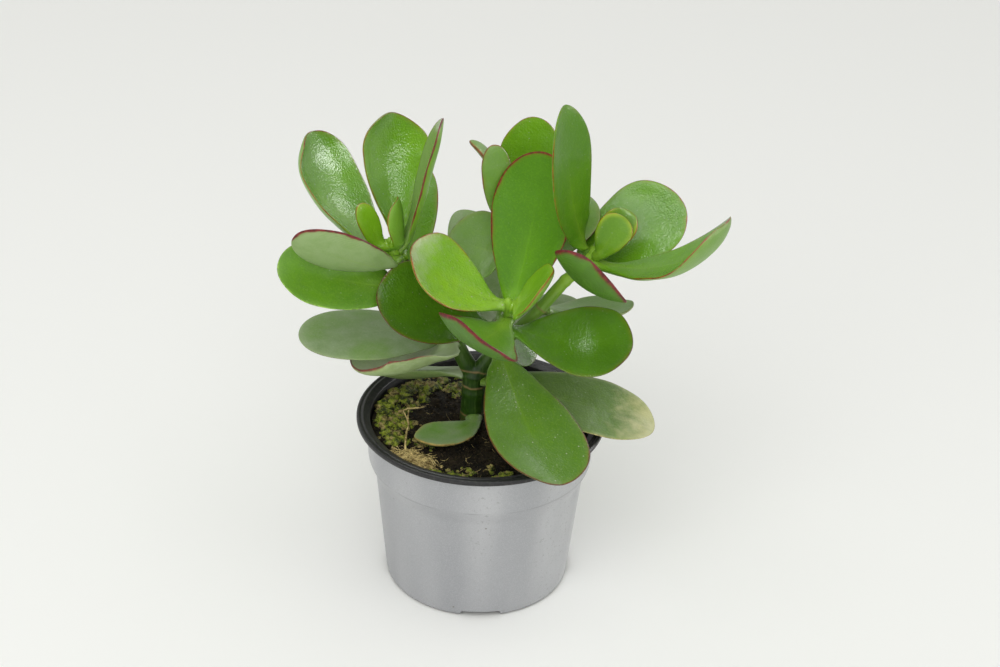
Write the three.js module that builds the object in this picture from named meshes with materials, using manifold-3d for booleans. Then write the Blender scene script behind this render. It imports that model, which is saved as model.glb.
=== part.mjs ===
// A young jade plant in a round nursery pot, in millimetres, +Z up.
// The origin is the middle of the pot's underside; -Y is the side that faces the viewer.
import * as THREE from "three";
import { mergeVertices } from "three/addons/utils/BufferGeometryUtils.js";
import Module from "manifold-3d";

const wasm = await Module();
wasm.setup();

// ---------------------------------------------------------------- driving dimensions

const GAP = 0.3;                 // clearance between two pieces that touch
const POT_SIDES = 40;

const POT_HEIGHT = 77.4;
const RIM_RADIUS = 52.5;
const RIM_LIP = 2.2;             // height of the lip's outer edge
const RIM_INSIDE = 48.9;
const COLLAR_RADIUS = 47.6;      // stacking collar just under the rim
const COLLAR_BOTTOM = 58;
const SHOULDER_RADIUS = 44.4;    // where the collar has run into the wall
const SHOULDER_HEIGHT = 50.5;
const BASE_RADIUS = 39.4;
const WALL = 0.9;
const FOOT_WIDTH = 4;
const FOOT_HEIGHT = 2;
const HUB_RADIUS = 9;            // middle of the underside, level with the foot
const DRAIN_RADIUS = 4;
const DRAIN_CIRCLE = 25;
const DRAINS = 6;
const NOTCHES = 4;
const NOTCH_WIDTH = 19;
const NOTCH_TOP_WIDTH = 15;
const FIRST_NOTCH = -86;         // degrees round the pot

const SOIL_LEVEL = 71;
const SOIL_RINGS = 7;
const SOIL_SIDES = 30;

const STEM_FOOT = 40;            // how far down the rooted foot of the trunk reaches
const STEM_SIDES = 10;
const NODE_SWELL = 0.35;         // how much the stem swells at a leaf node
const NODE_REACH = 1.7;          // and how far along the stem the swelling runs

// Each shoot is a list of leaf nodes from its foot to its tip: x, y, z and stem radius.
const SHOOTS = {
  trunk: [[-4, 6, STEM_FOOT, 4.6], [-4, 6, 71, 5], [-3.6, 6, 84.5, 4.9], [-3.5, 6, 93, 4.7],
    [-3, 6, 98, 3.4]],
  left: [[-3.6, 6, 92, 3.9], [-12.3, 5.5, 109, 3.5], [-30.5, 5, 138.5, 2.8], [-35.5, 5, 146, 2.4],
    [-37.8, 5, 150.5, 2], [-38.8, 5, 153.5, 1.5], [-39.2, 5, 156.5, 0.8]],
  front: [[-3, 6, 92, 3.8], [5.6, 4, 107, 3.3], [8.6, -2.5, 120, 2.8], [9.6, -8, 129.5, 2.4],
    [9.7, -11.5, 136, 1.9], [9.7, -12.6, 139.5, 0.9]],
  right: [[4, 5, 104, 2.6], [23.5, 8.5, 124.5, 2.7], [33, 9.5, 137, 2.6], [40.5, 10, 144, 2.4],
    [43, 10, 148, 2], [44.6, 10, 151, 1.5], [45.8, 10, 153.5, 0.8]],
  back: [[5, 5, 104, 2.8], [7.4, 14, 114, 2.9], [10.7, 27, 138, 2.6], [12.7, 31, 151, 2.2],
    [13.4, 32, 157, 1.7], [13.6, 32.4, 160, 0.9]],
};

// Leaves by shoot and node, angles in degrees. Heading is the bearing of the leaf from above,
// 0 towards +X and 90 away from the viewer; rise is its slope and length runs from neck to tip.
// root is the bearing at which the neck leaves the stem where that isn't the heading, lean tips
// the neck from square towards the shoot's end, and up shifts it along the stem. spin turns the
// blade about its own length, bend curls its tip towards the upper side, sway curves it sideways
// and cup hollows it across. widest is the share of the length at which the blade is broadest,
// and neck is the width of its neck.
const LEAVES = [
  { name: "leaf_trunk_low", on: ["trunk", 1], heading: -142, rise: 5, length: 31, width: 20,
    root: -80, up: 2.6, sway: -40 },
  { name: "leaf_trunk_right", on: ["trunk", 3], heading: -5, rise: -12, length: 74, width: 37,
    root: -14, up: -2, spin: 8, bend: -1, sway: 6, cup: 0.14 },
  { name: "leaf_trunk_left", on: ["trunk", 3], heading: 155, rise: -10, length: 45, width: 27,
    up: -1.5, spin: 22, bend: 28 },

  { name: "leaf_left_1_front", on: ["left", 1], heading: -163, rise: -8, length: 40, width: 42,
    root: -115, spin: 22, sway: 40, bend: 32, cup: 0.36, widest: 0.6 },
  { name: "leaf_left_1_back", on: ["left", 1], heading: 189, rise: 3, length: 64, width: 43,
    root: 110, bend: 0, cup: 0.02, neck: 4.4 },
  { name: "leaf_left_2_front", on: ["left", 2], heading: -166, rise: 12, length: 54, width: 30,
    root: -130, spin: -36 },
  { name: "leaf_left_2_back", on: ["left", 2], heading: 89, rise: 42, length: 49, width: 19,
    spin: 0, bend: 0 },
  { name: "leaf_left_3_front", on: ["left", 3], heading: -154, rise: 22, length: 47, width: 27,
    root: -110, up: 2, spin: 53, bend: 14, sway: -20, cup: 0.06 },
  { name: "leaf_left_3_back", on: ["left", 3], heading: 98, rise: 61, length: 59, width: 38,
    root: 80, spin: 43, bend: 37, sway: -9, cup: 0.33, widest: 0.8 },
  { name: "leaf_left_4_left", on: ["left", 4], heading: 138, rise: 39, length: 60, width: 45,
    root: 170, spin: 22, bend: 53, sway: 24, cup: 0.33 },
  { name: "leaf_left_4_right", on: ["left", 4], heading: 30, rise: 70, length: 57, width: 25,
    spin: -24, bend: -2, sway: 22 },
  { name: "leaf_left_5_left", on: ["left", 5], heading: 192, rise: 60, length: 22, width: 10,
    spin: -60, bend: 0, neck: 3.6 },
  { name: "leaf_left_5_right", on: ["left", 5], heading: -20, rise: 88, length: 20, width: 18,
    spin: 10, bend: 0, neck: 3.6 },

  { name: "leaf_front_1_front", on: ["front", 1], heading: -63, rise: -25, length: 66, width: 46,
    spin: -13, bend: 21, sway: 3 },
  { name: "leaf_front_1_back", on: ["front", 1], heading: 62, rise: -16, length: 31, width: 15,
    root: 0, up: -3, spin: 50, bend: 34 },
  { name: "leaf_front_2_left", on: ["front", 2], heading: 190, rise: 21, length: 53, width: 36,
    spin: -37, bend: 3, cup: 0.34, widest: 0.75 },
  { name: "leaf_front_2_right", on: ["front", 2], heading: -10, rise: 0, length: 50, width: 36,
    spin: 25, bend: 31, cup: 0.25 },
  { name: "leaf_front_3_front", on: ["front", 3], heading: -101, rise: 22, length: 55, width: 36,
    spin: -24, bend: 38, sway: 21 },
  { name: "leaf_front_3_back", on: ["front", 3], heading: 72, rise: 57, length: 66, width: 35,
    bend: 26, cup: 0.26 },
  { name: "leaf_front_4_left", on: ["front", 4], heading: 176, rise: 34, length: 44, width: 41,
    spin: -10, bend: 27, sway: -8 },
  { name: "leaf_front_4_right", on: ["front", 4], heading: -11, rise: 50, length: 24, width: 27,
    spin: 6, bend: 14, widest: 0.52 },

  { name: "leaf_right_1_right", on: ["right", 1], heading: 32, rise: -8, length: 41, width: 29,
    spin: -11, bend: 29, sway: 11 },
  { name: "leaf_right_3_front", on: ["right", 3], heading: -82, rise: 27, length: 39, width: 35,
    spin: -37, bend: 57, sway: 12 },
  { name: "leaf_right_3_back", on: ["right", 3], heading: 27, rise: 31, length: 48, width: 46,
    root: 80, spin: 7, bend: 24, cup: 0.06 },
  { name: "leaf_right_4_left", on: ["right", 4], heading: 214, rise: 78, length: 71, width: 31,
    root: 136, spin: -64, bend: -4, sway: -30 },
  { name: "leaf_right_4_right", on: ["right", 4], heading: -29, rise: 31, length: 65, width: 42,
    spin: 2, bend: 55, sway: 12, widest: 0.78 },
  { name: "leaf_right_5_front", on: ["right", 5], heading: 26, rise: 52, length: 19, width: 15,
    root: -70, lean: 45, spin: 40, bend: -18, neck: 3.2 },
  { name: "leaf_right_5_back", on: ["right", 5], heading: 28, rise: 40, length: 21, width: 18,
    root: 60, spin: 15, neck: 3.6 },

  { name: "leaf_back_1_left", on: ["back", 1], heading: 107, rise: 27, length: 60, width: 27, spin: 15 },
  { name: "leaf_back_1_right", on: ["back", 1], heading: 32, rise: -5, length: 40, width: 30, spin: 5 },
  { name: "leaf_back_2_left", on: ["back", 2], heading: 172, rise: 11, length: 25, width: 34,
    root: 175, spin: -34, widest: 0.54 },
  { name: "leaf_back_2_right", on: ["back", 2], heading: 21, rise: 33, length: 40, width: 32,
    spin: 14, bend: 5 },
  { name: "leaf_back_3_front", on: ["back", 3], heading: 178, rise: 76, length: 37, width: 13,
    root: 195, spin: -75, bend: 0, cup: 0.1 },
  { name: "leaf_back_3_back", on: ["back", 3], heading: 78, rise: 66, length: 45, width: 27,
    spin: 32, bend: 32, sway: 10 },
  { name: "leaf_back_4_left", on: ["back", 4], heading: 164, rise: 53, length: 35, width: 12,
    root: 140, spin: 10, bend: -30, cup: 0.1 },
  { name: "leaf_back_4_right", on: ["back", 4], heading: 40, rise: 60, length: 26, width: 16 },
];

const LEAF_PLAIN = {
  spin: 0, bend: 10, sway: 0, cup: 0.2, thick: 3.4, widest: 0.71, neck: 5.4, up: 0, lean: 0,
};
const NECK_THICKNESS = 3.4;
const LEAF_SECTIONS = [0, 0.06, 0.16, 0.29, 0.45, 0.61, 0.76, 0.88, 0.96];
const LEAF_SIDES = 12;
const TIP_ROUNDNESS = 0.5;       // 0.5 makes the tip a half ellipse
const TWIST_LENGTH = 0.3;        // share of the leaf in which its neck twists into the blade

// ---------------------------------------------------------------- helpers

const radians = THREE.MathUtils.degToRad;

function smoothRise(x) {
  const clamped = Math.min(Math.max(x, 0), 1);
  return clamped * clamped * (3 - 2 * clamped);
}

// A closed skin over a stack of rings of equal point count, with a flat cap at each end,
// or a single point where the ring list ends in one vector.
function skin(rings, tip) {
  const sides = rings[0].length;
  const points = rings.flat();
  const faces = [];
  for (let ring = 0; ring < rings.length - 1; ring++) {
    for (let side = 0; side < sides; side++) {
      const next = (side + 1) % sides;
      const a = ring * sides + side;
      const b = ring * sides + next;
      faces.push(a, b, b + sides, a, b + sides, a + sides);
    }
  }
  for (let side = 1; side < sides - 1; side++) {
    faces.push(0, side + 1, side);
  }
  const last = (rings.length - 1) * sides;
  if (tip) {
    points.push(tip);
    for (let side = 0; side < sides; side++) {
      faces.push(last + side, last + (side + 1) % sides, points.length - 1);
    }
  } else {
    for (let side = 1; side < sides - 1; side++) {
      faces.push(last, last + side, last + side + 1);
    }
  }
  const geometry = new THREE.BufferGeometry().setFromPoints(points);
  geometry.setIndex(faces);
  return geometry;
}

function toSolid(geometry) {
  const bare = geometry.clone();
  bare.deleteAttribute("normal");
  bare.deleteAttribute("uv");
  const merged = mergeVertices(bare, 1e-4);
  const vertProperties = new Float32Array(merged.attributes.position.array);
  const triVerts = new Uint32Array(merged.index.array);
  return new wasm.Manifold(new wasm.Mesh({ numProp: 3, vertProperties, triVerts }));
}

function toGeometry(solid) {
  const { vertProperties, triVerts } = solid.getMesh();
  const geometry = new THREE.BufferGeometry();
  geometry.setAttribute("position", new THREE.BufferAttribute(new Float32Array(vertProperties), 3));
  geometry.setIndex(Array.from(triVerts));
  return geometry;
}

function named(name, geometry, color, roughness) {
  const material = new THREE.MeshStandardMaterial({ color, roughness, metalness: 0 });
  const mesh = new THREE.Mesh(geometry, material);
  mesh.name = name;
  return mesh;
}

// ---------------------------------------------------------------- pot

function wallRadius(height) {
  if (height < SHOULDER_HEIGHT) {
    return THREE.MathUtils.lerp(BASE_RADIUS, SHOULDER_RADIUS, height / SHOULDER_HEIGHT);
  }
  const share = Math.min((height - SHOULDER_HEIGHT) / (COLLAR_BOTTOM - SHOULDER_HEIGHT), 1);
  return THREE.MathUtils.lerp(SHOULDER_RADIUS, COLLAR_RADIUS, share);
}

function lathe(profile, sides) {
  const points = profile.map(([radius, height]) => new THREE.Vector2(radius, height));
  return new THREE.LatheGeometry(points, sides).rotateX(Math.PI / 2);
}

function makePot() {
  const foot = BASE_RADIUS - FOOT_WIDTH;
  const floorTop = FOOT_HEIGHT + WALL;
  const profile = [
    [0, 0],
    [HUB_RADIUS, 0],
    [HUB_RADIUS + 1, FOOT_HEIGHT],
    [foot - 1, FOOT_HEIGHT],
    [foot, 0],
    [BASE_RADIUS - 1, 0],
    [wallRadius(1), 1],
    [SHOULDER_RADIUS, SHOULDER_HEIGHT],
    [COLLAR_RADIUS, COLLAR_BOTTOM],
    [COLLAR_RADIUS + 0.3, POT_HEIGHT - RIM_LIP],
    [RIM_RADIUS, POT_HEIGHT - RIM_LIP],
    [RIM_RADIUS, POT_HEIGHT - 0.3],
    [RIM_RADIUS - 0.7, POT_HEIGHT],
    [RIM_INSIDE, POT_HEIGHT - 0.4],
    [COLLAR_RADIUS - WALL, POT_HEIGHT - 1.4],
    [COLLAR_RADIUS - WALL, COLLAR_BOTTOM + 0.2],
    [SHOULDER_RADIUS - WALL, SHOULDER_HEIGHT],
    [wallRadius(floorTop) - WALL - 0.6, floorTop],
    [0, floorTop],
  ];
  let pot = toSolid(lathe(profile, POT_SIDES));

  const drain = new THREE.CylinderGeometry(DRAIN_RADIUS, DRAIN_RADIUS, 3 * FOOT_HEIGHT, 8);
  drain.rotateX(Math.PI / 2);
  drain.translate(DRAIN_CIRCLE, 0, FOOT_HEIGHT);
  for (let index = 0; index < DRAINS; index++) {
    pot = pot.subtract(toSolid(drain.clone().rotateZ(2 * Math.PI * index / DRAINS)));
  }

  const arch = new THREE.Shape([
    new THREE.Vector2(-NOTCH_WIDTH / 2, -1),
    new THREE.Vector2(NOTCH_WIDTH / 2, -1),
    new THREE.Vector2(NOTCH_WIDTH / 2, 0),
    new THREE.Vector2(NOTCH_TOP_WIDTH / 2, FOOT_HEIGHT),
    new THREE.Vector2(-NOTCH_TOP_WIDTH / 2, FOOT_HEIGHT),
    new THREE.Vector2(-NOTCH_WIDTH / 2, 0),
  ]);
  const notch = new THREE.ExtrudeGeometry(arch, { depth: 3 * FOOT_WIDTH, bevelEnabled: false });
  notch.rotateX(Math.PI / 2);
  notch.rotateZ(Math.PI / 2);
  notch.translate(BASE_RADIUS - 2 * FOOT_WIDTH, 0, 0);
  for (let index = 0; index < NOTCHES; index++) {
    const turn = radians(FIRST_NOTCH) + 2 * Math.PI * index / NOTCHES;
    pot = pot.subtract(toSolid(notch.clone().rotateZ(turn)));
  }
  return toGeometry(pot);
}

// ---------------------------------------------------------------- soil

// Low uneven mounds, higher under the moss on the left of the pot.
function soilHeight(x, y) {
  const mounds = 0.8 * Math.sin(x * 0.23 + 1) * Math.cos(y * 0.19) + 0.5 * Math.sin(x * 0.51 - y * 0.37);
  const moss = 1.6 * smoothRise((-x - 8) / 30);
  return SOIL_LEVEL + mounds + moss;
}

function makeSoil(trunk) {
  const bottom = FOOT_HEIGHT + WALL + GAP;
  const rings = [];
  const ringAt = (radius, height) => {
    const ring = [];
    for (let side = 0; side < SOIL_SIDES; side++) {
      const angle = 2 * Math.PI * side / SOIL_SIDES;
      const x = radius * Math.cos(angle);
      const y = radius * Math.sin(angle);
      ring.push(new THREE.Vector3(x, y, height ?? soilHeight(x, y)));
    }
    rings.push(ring);
  };
  // The pot's inside has flat sides, so the soil keeps within their middles.
  const flat = Math.cos(Math.PI / POT_SIDES);
  const inside = (height) => (wallRadius(height) - WALL) * flat - GAP;
  ringAt(inside(bottom) - 1.5, bottom);
  ringAt(inside(SHOULDER_HEIGHT) - 0.2, SHOULDER_HEIGHT - 1);
  ringAt(inside(COLLAR_BOTTOM) - 0.2, COLLAR_BOTTOM + 1);
  for (let ring = SOIL_RINGS; ring > 0; ring--) {
    ringAt((inside(SOIL_LEVEL) - 0.2) * ring / SOIL_RINGS);
  }
  const soil = toSolid(skin(rings, new THREE.Vector3(0, 0, soilHeight(0, 0))));
  const hole = new THREE.CylinderGeometry(trunk.radius + GAP, trunk.radius + GAP, SOIL_LEVEL, STEM_SIDES);
  hole.rotateX(Math.PI / 2);
  hole.translate(trunk.x, trunk.y, STEM_FOOT - GAP + SOIL_LEVEL / 2);
  return toGeometry(soil.subtract(toSolid(hole)));
}

// ---------------------------------------------------------------- stems

const shootCurves = {};
for (const [name, nodes] of Object.entries(SHOOTS)) {
  const points = nodes.map(([x, y, z]) => new THREE.Vector3(x, y, z));
  shootCurves[name] = new THREE.CatmullRomCurve3(points, false, "centripetal");
}

// One limb: a round tapering stem along its curve, swollen at every leaf node.
function makeLimb(name) {
  const nodes = SHOOTS[name];
  const curve = shootCurves[name];
  const spans = nodes.length - 1;
  const stations = [];
  for (let span = 0; span < spans; span++) {
    const from = new THREE.Vector3(...nodes[span]);
    const reach = NODE_REACH / from.distanceTo(new THREE.Vector3(...nodes[span + 1]));
    stations.push([span, 0, NODE_SWELL]);
    if (reach < 0.4) {
      stations.push([span, reach, 0], [span, 0.5, 0], [span, 1 - reach, 0]);
    } else {
      stations.push([span, 0.5, 0]);
    }
  }
  const sideways = new THREE.Vector3(0, 1, 0);
  const ringAt = (span, share, swell) => {
    const along = (span + share) / spans;
    const centre = curve.getPoint(along);
    const tangent = curve.getTangent(along);
    const right = new THREE.Vector3().crossVectors(sideways, tangent).normalize();
    const far = new THREE.Vector3().crossVectors(tangent, right);
    const radius = THREE.MathUtils.lerp(nodes[span][3], nodes[span + 1][3], share) + swell;
    const ring = [];
    for (let side = 0; side < STEM_SIDES; side++) {
      const angle = 2 * Math.PI * side / STEM_SIDES;
      ring.push(centre.clone()
        .addScaledVector(right, radius * Math.cos(angle))
        .addScaledVector(far, radius * Math.sin(angle)));
    }
    return ring;
  };
  const rings = stations.map(([span, share, swell]) => ringAt(span, share, span === 0 ? 0 : swell));
  rings.push(ringAt(spans - 1, 0.9, -0.3));
  return skin(rings, curve.getPoint(1));
}

function makeStem() {
  let stem = toSolid(makeLimb("trunk"));
  for (const name of ["left", "front", "right", "back"]) {
    stem = stem.add(toSolid(makeLimb(name)));
  }
  return toGeometry(stem);
}

// ---------------------------------------------------------------- leaves

// Half the blade's width at a share of its length: an egg shape with its wide end outwards.
function halfWidth(leaf, share) {
  const power = TIP_ROUNDNESS * leaf.widest / (1 - leaf.widest);
  const peak = leaf.widest ** power * (1 - leaf.widest) ** TIP_ROUNDNESS;
  const blade = leaf.width / 2 * share ** power * (1 - share) ** TIP_ROUNDNESS / peak;
  const neck = leaf.neck / 2 * (1 - smoothRise(share / 0.35));
  return Math.hypot(blade, neck);
}

function halfThickness(leaf, share) {
  const neck = Math.min(NECK_THICKNESS, leaf.neck * 0.7);
  const full = THREE.MathUtils.lerp(neck, leaf.thick, smoothRise(share / 0.3));
  return full / 2 * Math.sqrt(1 - share ** 9);
}

function makeLeaf(leaf) {
  const [shoot, node] = leaf.on;
  const nodes = SHOOTS[shoot];
  const along = node / (nodes.length - 1);
  const axis = shootCurves[shoot].getTangent(along);
  const bearing = (degrees) => new THREE.Vector3(Math.cos(radians(degrees)), Math.sin(radians(degrees)), 0);

  // The neck leaves the stem on the side that the root bearing names, square to it but for lean.
  const outward = bearing(leaf.root ?? leaf.heading);
  outward.addScaledVector(axis, -outward.dot(axis)).normalize();
  const root = shootCurves[shoot].getPoint(along).addScaledVector(axis, leaf.up);
  const lean = radians(leaf.lean);
  const clear = halfThickness(leaf, 0) * Math.sin(lean);
  root.addScaledVector(outward, nodes[node][3] + NODE_SWELL + GAP + clear);
  outward.multiplyScalar(Math.cos(lean)).addScaledVector(axis, Math.sin(lean));

  const ahead = bearing(leaf.heading);
  const rise = radians(leaf.rise);
  const chord = ahead.clone().multiplyScalar(Math.cos(rise)).setZ(Math.sin(rise));
  const side = new THREE.Vector3(ahead.y, -ahead.x, 0);
  const spun = side.clone().applyAxisAngle(chord, radians(leaf.spin));
  const tipWay = chord.clone().applyAxisAngle(spun, radians(leaf.bend));
  tipWay.applyAxisAngle(new THREE.Vector3().crossVectors(spun, chord), radians(leaf.sway));

  const tip = root.clone().addScaledVector(chord, leaf.length);
  const midrib = new THREE.CubicBezierCurve3(
    root,
    root.clone().addScaledVector(outward, Math.min(0.2 * leaf.length, 9)),
    tip.clone().addScaledVector(tipWay, -0.42 * leaf.length),
    tip,
  );

  const rings = LEAF_SECTIONS.map((share) => {
    const centre = midrib.getPoint(share);
    const forward = midrib.getTangent(share);
    const across = side.clone().addScaledVector(forward, -side.dot(forward)).normalize();
    across.applyAxisAngle(forward, radians(leaf.spin) * smoothRise(share / TWIST_LENGTH));
    const up = new THREE.Vector3().crossVectors(across, forward);
    const half = halfWidth(leaf, share);
    const thickness = halfThickness(leaf, share);
    const hollow = leaf.cup * half * smoothRise(share / TWIST_LENGTH);
    const ring = [];
    for (let index = 0; index < LEAF_SIDES; index++) {
      const angle = -2 * Math.PI * index / LEAF_SIDES;
      const sideShare = Math.cos(angle);
      ring.push(centre.clone()
        .addScaledVector(across, half * sideShare)
        .addScaledVector(up, hollow * sideShare ** 2 + thickness * Math.sin(angle)));
    }
    return ring;
  });
  return skin(rings, tip);
}

// ---------------------------------------------------------------- assembly

const plant = new THREE.Group();
const [trunkX, trunkY, , trunkRadius] = SHOOTS.trunk[1];
plant.add(named("pot", makePot(), 0x8d9094, 0.45));
plant.add(named("soil", makeSoil({ x: trunkX, y: trunkY, radius: trunkRadius + NODE_SWELL }), 0x2b2318, 1));
plant.add(named("stem", makeStem(), 0x5d8a2c, 0.5));
for (const leaf of LEAVES) {
  plant.add(named(leaf.name, makeLeaf({ ...LEAF_PLAIN, ...leaf }), 0x4f8a22, 0.35));
}

export default plant;
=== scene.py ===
"""A young jade plant in a round nursery pot: fleshy leaves, green forked stem, mossy peat, silver pot."""
import math
import random

import bmesh
import bpy
import numpy as np
from mathutils import Euler, Matrix, Vector, noise


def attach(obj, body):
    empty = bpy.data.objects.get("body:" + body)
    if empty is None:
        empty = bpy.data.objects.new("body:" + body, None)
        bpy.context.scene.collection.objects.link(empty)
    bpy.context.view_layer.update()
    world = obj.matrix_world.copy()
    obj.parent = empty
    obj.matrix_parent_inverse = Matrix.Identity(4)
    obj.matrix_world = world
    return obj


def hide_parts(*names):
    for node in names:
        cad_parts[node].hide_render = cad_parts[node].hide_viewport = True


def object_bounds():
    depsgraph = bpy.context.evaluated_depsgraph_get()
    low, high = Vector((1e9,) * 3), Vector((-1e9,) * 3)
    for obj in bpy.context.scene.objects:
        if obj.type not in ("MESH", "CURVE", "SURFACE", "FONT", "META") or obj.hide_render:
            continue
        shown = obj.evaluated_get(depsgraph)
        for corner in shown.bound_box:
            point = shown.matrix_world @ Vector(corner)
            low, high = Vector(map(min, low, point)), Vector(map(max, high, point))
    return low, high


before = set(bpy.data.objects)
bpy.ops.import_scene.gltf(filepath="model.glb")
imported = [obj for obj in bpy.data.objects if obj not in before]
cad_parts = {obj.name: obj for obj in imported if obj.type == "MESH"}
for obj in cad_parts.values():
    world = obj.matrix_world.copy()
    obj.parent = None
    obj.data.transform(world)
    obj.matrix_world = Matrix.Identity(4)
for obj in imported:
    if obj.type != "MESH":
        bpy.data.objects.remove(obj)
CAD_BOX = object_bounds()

# ------------------------------------------------------------------ floor and backdrop
# A plain pale table, wide enough to fill the picture from every side. It isn't part of the
# object.

MM = 0.001
FLOOR_TONE = (0.93, 0.935, 0.91)


def start_clean():
    bpy.ops.object.select_all(action="DESELECT")


class Finish:
    """A material, with its nodes set down in short calls.

    The sizes of grain and cells and the depth of relief are in mm, and height() is in metres.
    """

    def __init__(self, name, roughness=0.5, **constants):
        self.material = bpy.data.materials.new(name)
        self.material.use_nodes = True
        self.tree = self.material.node_tree
        self.shader = self.tree.nodes["Principled BSDF"]
        self.place = self.tree.nodes.new("ShaderNodeTexCoord").outputs["Object"]
        self.shader.inputs["Roughness"].default_value = roughness
        for socket, value in constants.items():
            self.shader.inputs[socket.replace("_", " ").title().replace("Ior", "IOR")].default_value = value
        self.normal = None

    def put(self, value, socket):
        if isinstance(value, bpy.types.NodeSocket):
            self.tree.links.new(value, socket)
        elif socket.type == "RGBA":
            socket.default_value = (*value, 1)
        else:
            socket.default_value = value

    def number(self, kind, *values, clamp=False):
        node = self.tree.nodes.new("ShaderNodeMath")
        node.operation = kind
        node.use_clamp = clamp
        for value, socket in zip(values, node.inputs):
            self.put(value, socket)
        return node.outputs[0]

    def times(self, first, second):
        return self.number("MULTIPLY", first, second)

    def plus(self, first, second):
        return self.number("ADD", first, second)

    def step(self, value, low, high):
        """0 below low, 1 above high and a smooth rise between, or a fall where low is higher."""
        node = self.tree.nodes.new("ShaderNodeMapRange")
        node.interpolation_type = "SMOOTHSTEP"
        for number, socket in zip((value, low, high), ("Value", "From Min", "From Max")):
            self.put(number, node.inputs[socket])
        return node.outputs["Result"]

    def blend(self, share, first, second):
        node = self.tree.nodes.new("ShaderNodeMix")
        node.data_type = "RGBA"
        for value, socket in zip((share, first, second), (node.inputs[0], node.inputs[6], node.inputs[7])):
            self.put(value, socket)
        return node.outputs[2]

    def stretched(self, size, stretch=(1, 1, 1)):
        node = self.tree.nodes.new("ShaderNodeMapping")
        node.vector_type = "POINT"
        self.tree.links.new(self.place, node.inputs["Vector"])
        node.inputs["Scale"].default_value = [side / (size * MM) for side in stretch]
        return node.outputs["Vector"]

    def grain(self, size, detail=3, roughness=0.55, stretch=(1, 1, 1)):
        node = self.tree.nodes.new("ShaderNodeTexNoise")
        self.tree.links.new(self.stretched(size, stretch), node.inputs["Vector"])
        node.inputs["Scale"].default_value = 1
        node.inputs["Detail"].default_value = detail
        node.inputs["Roughness"].default_value = roughness
        return node.outputs["Fac"]

    def cells(self, size):
        node = self.tree.nodes.new("ShaderNodeTexVoronoi")
        self.tree.links.new(self.stretched(size), node.inputs["Vector"])
        node.inputs["Scale"].default_value = 1
        return node.outputs["Distance"]

    def height(self):
        node = self.tree.nodes.new("ShaderNodeSeparateXYZ")
        self.tree.links.new(self.place, node.inputs[0])
        return node.outputs["Z"]

    def read(self, attribute):
        node = self.tree.nodes.new("ShaderNodeAttribute")
        node.attribute_name = attribute
        return node.outputs["Fac"]

    def emboss(self, height, depth):
        """Raises the surface by depth where height is 1."""
        node = self.tree.nodes.new("ShaderNodeBump")
        node.inputs["Strength"].default_value = 1
        node.inputs["Distance"].default_value = depth * MM
        self.put(height, node.inputs["Height"])
        if self.normal is not None:
            self.tree.links.new(self.normal, node.inputs["Normal"])
        self.normal = node.outputs["Normal"]

    def done(self, colour, roughness=None):
        self.put(colour, self.shader.inputs["Base Color"])
        if roughness is not None:
            self.put(roughness, self.shader.inputs["Roughness"])
        if self.normal is not None:
            self.tree.links.new(self.normal, self.shader.inputs["Normal"])
        return self.material


start_clean()
bpy.ops.mesh.primitive_plane_add(size=12, location=(0, 0, 0))
table_top = bpy.context.object
table_top.name = "table_top"
table_top.data.materials.append(Finish("pale_table", 0.9, specular_ior_level=0).done(FLOOR_TONE))


# ------------------------------------------------------------------ camera and lights
# The camera stands where the photograph was taken from, above the plant and looking down on
# it, rolled two degrees. The room is white and lit evenly by soft panels in front and above,
# and the windows round it only show as highlights.

FOCAL_PIXELS = 2000
FRAME_PIXELS = (1000, 667)
CAMERA_ELEVATION = math.radians(29.7)
CAMERA_ROLL = math.radians(2.03)
CAMERA_DISTANCE = 0.864
AIM_POINT = Vector((0, 0, 0.040))
AIM_PIXEL = (478.7, 486.2)
SENSOR = 36

ROOM_BRIGHTNESS = 0.65
LAMPS_FACE = Vector((0, 0, 0.14))
WINDOWS = {         # bearing and height in degrees, distance and sides in metres, brightness
    "front_panel": (-104, 36, 2.0, 2.2, 1.8, 1.6),
    "overhead_panel": (-80, 78, 1.5, 1.4, 1.0, 0.8),
    "window_right": (-7, 13, 1.9, 0.50, 0.80, 15.0),
    "window_beside": (19, 13, 1.9, 0.50, 0.80, 15.0),
    "window_behind": (53, 27, 1.7, 0.28, 0.30, 13.0),
    "window_left": (150, 44, 1.6, 0.30, 0.18, 14.0),
    "window_above": (150, 72, 1.3, 0.36, 0.24, 16.0),
    "window_front": (-70, 30, 1.9, 0.35, 0.30, 15.0),
}


def set_out(name, data):
    item = bpy.data.objects.new(name, data)
    bpy.context.scene.collection.objects.link(item)
    return item


def place_camera():
    ahead = Vector((0, math.cos(CAMERA_ELEVATION), -math.sin(CAMERA_ELEVATION)))
    level = Vector((1, 0, 0))
    above = level.cross(ahead)
    right = math.cos(CAMERA_ROLL) * level + math.sin(CAMERA_ROLL) * above
    up = -math.sin(CAMERA_ROLL) * level + math.cos(CAMERA_ROLL) * above
    across = (AIM_PIXEL[0] - FRAME_PIXELS[0] / 2) / FOCAL_PIXELS
    down = (AIM_PIXEL[1] - FRAME_PIXELS[1] / 2) / FOCAL_PIXELS
    camera = set_out("camera", bpy.data.cameras.new("camera"))
    turn = Matrix((right, up, -ahead)).transposed().to_4x4()
    place = AIM_POINT - CAMERA_DISTANCE * (ahead + across * right - down * up)
    camera.matrix_world = Matrix.Translation(place) @ turn
    camera.data.sensor_width = SENSOR
    camera.data.lens = SENSOR * FOCAL_PIXELS / FRAME_PIXELS[0]
    camera.data.clip_start = 0.05
    camera.data.clip_end = 30
    bpy.context.scene.camera = camera


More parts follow.
